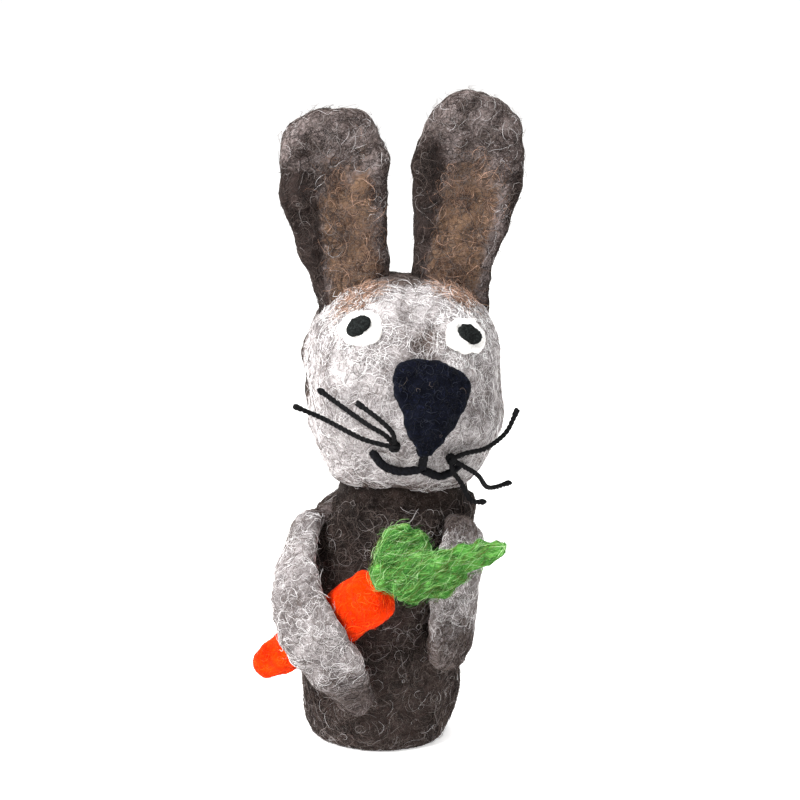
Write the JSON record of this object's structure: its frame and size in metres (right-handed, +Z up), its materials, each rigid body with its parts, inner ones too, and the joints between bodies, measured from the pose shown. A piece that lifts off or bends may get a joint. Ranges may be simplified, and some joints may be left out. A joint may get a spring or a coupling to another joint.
{
  "type": "finger puppet",
  "caption": "Needle-felted wool rabbit finger puppet: tube body with finger hole, turning head, flexing ears, thread whiskers, arms holding a felt carrot",
  "frame": {"origin": "centre of the finger hole's mouth, on the plane of the body's lower rim that the puppet stands on", "axes": "+Z up, the length of the puppet; the rabbit faces -Y with its head turned a little to its left; +X is the rabbit's left"},
  "size_m": [0.0513, 0.048, 0.1297],
  "materials": {
    "dark_felt": "needle-felted wool, dark brown-grey, loose fibres",
    "brown_felt": "needle-felted wool, brown-grey, loose fibres",
    "grey_felt": "needle-felted wool, light grey with darker fibres through it",
    "tan_felt": "needle-felted wool, tan to peach, loose fibres",
    "white_felt": "white wool, felted flat",
    "black_felt": "blue-black wool, felted firm",
    "black_thread": "twisted black cotton thread",
    "orange_felt": "orange wool, felted firm",
    "green_felt": "mid-green wool, felted soft",
    "wadding": "undyed core wool"
  },
  "bodies": {
    "trunk": {"body_tube": "dark_felt"},
    "wad": {"neck_wad": "wadding"},
    "head": {"head_core": "wadding", "face": "grey_felt", "hood": "brown_felt", "nose": "black_felt", "philtrum": "black_thread", "mouth_left": "black_thread", "mouth_right": "black_thread", "eye_white_left": "white_felt", "eye_white_right": "white_felt", "pupil_left": "black_thread", "pupil_right": "black_thread", "whisker_knot_left": "black_thread", "whisker_knot_right": "black_thread"},
    "ear_left": {"ear_blade_left": "brown_felt", "ear_lining_left": "tan_felt"},
    "ear_right": {"ear_blade_right": "brown_felt", "ear_lining_right": "tan_felt"},
    "whiskers_left": {"whisker_left_lower": "black_thread", "whisker_left_middle": "black_thread", "whisker_left_upper": "black_thread"},
    "whiskers_right": {"whisker_right_lower": "black_thread", "whisker_right_middle": "black_thread", "whisker_right_upper": "black_thread"},
    "arm_left": {"arm_left": "grey_felt"},
    "arm_right": {"arm_right": "grey_felt"},
    "carrot": {"carrot_root": "orange_felt"},
    "leaves": {"leaf_upper": "green_felt", "leaf_front": "green_felt", "leaf_under": "green_felt"}
  },
  "joints": [
    {"name": "neck_nod", "type": "hinge", "parent": "trunk", "child": "wad", "pos_m": [0.0048, 0, 0.0495], "axis": [0.9613, 0.2756, 0], "range_deg": [-8, 12], "stiffness_Nm_per_rad": 0.03},
    {"name": "neck_turn", "type": "hinge", "parent": "wad", "child": "head", "pos_m": [0.0048, 0, 0.0495], "axis": [0, 0, 1], "range_deg": [-35, 30], "stiffness_Nm_per_rad": 0.01},
    {"name": "ear_left_flex", "type": "hinge", "parent": "head", "child": "ear_left", "pos_m": [0.01305, 0.00497, 0.0904], "axis": [0.9519, 0.273, -0.1392], "range_deg": [-35, 50], "stiffness_Nm_per_rad": 0.004},
    {"name": "ear_right_flex", "type": "hinge", "parent": "head", "child": "ear_right", "pos_m": [-0.00483, -0.00016, 0.0904], "axis": [0.9519, 0.273, 0.1392], "range_deg": [-35, 50], "stiffness_Nm_per_rad": 0.004},
    {"name": "arm_left_swing", "type": "hinge", "parent": "trunk", "child": "arm_left", "pos_m": [0.0179, -0.0107, 0.047], "axis": [-0.6159, -0.7878, 0], "range_deg": [0, 60], "stiffness_Nm_per_rad": 0.003},
    {"name": "arm_right_swing", "type": "hinge", "parent": "trunk", "child": "arm_right", "pos_m": [-0.0116, -0.0057, 0.047], "axis": [-0.866, 0.5, 0], "range_deg": [0, 55], "stiffness_Nm_per_rad": 0.003},
    {"name": "carrot_slide", "type": "slide", "parent": "trunk", "child": "carrot", "axis": [0.7703, -0.2527, 0.5854], "range_m": [0, 0.03]},
    {"name": "leaves_flex", "type": "hinge", "parent": "carrot", "child": "leaves", "pos_m": [0.0053, -0.0255, 0.0375], "axis": [0, 0, -1], "range_deg": [0, 25], "stiffness_Nm_per_rad": 0.0008},
    {"name": "whiskers_left_flex", "type": "hinge", "parent": "head", "child": "whiskers_left", "pos_m": [0.01595, -0.01615, 0.06085], "axis": [0, 0, -1], "range_deg": [0, 25], "stiffness_Nm_per_rad": 0.00002},
    {"name": "whiskers_right_flex", "type": "hinge", "parent": "head", "child": "whiskers_right", "pos_m": [0.00535, -0.02105, 0.0642], "axis": [0, 0, 1], "range_deg": [0, 25], "stiffness_Nm_per_rad": 0.00002}
  ]
}
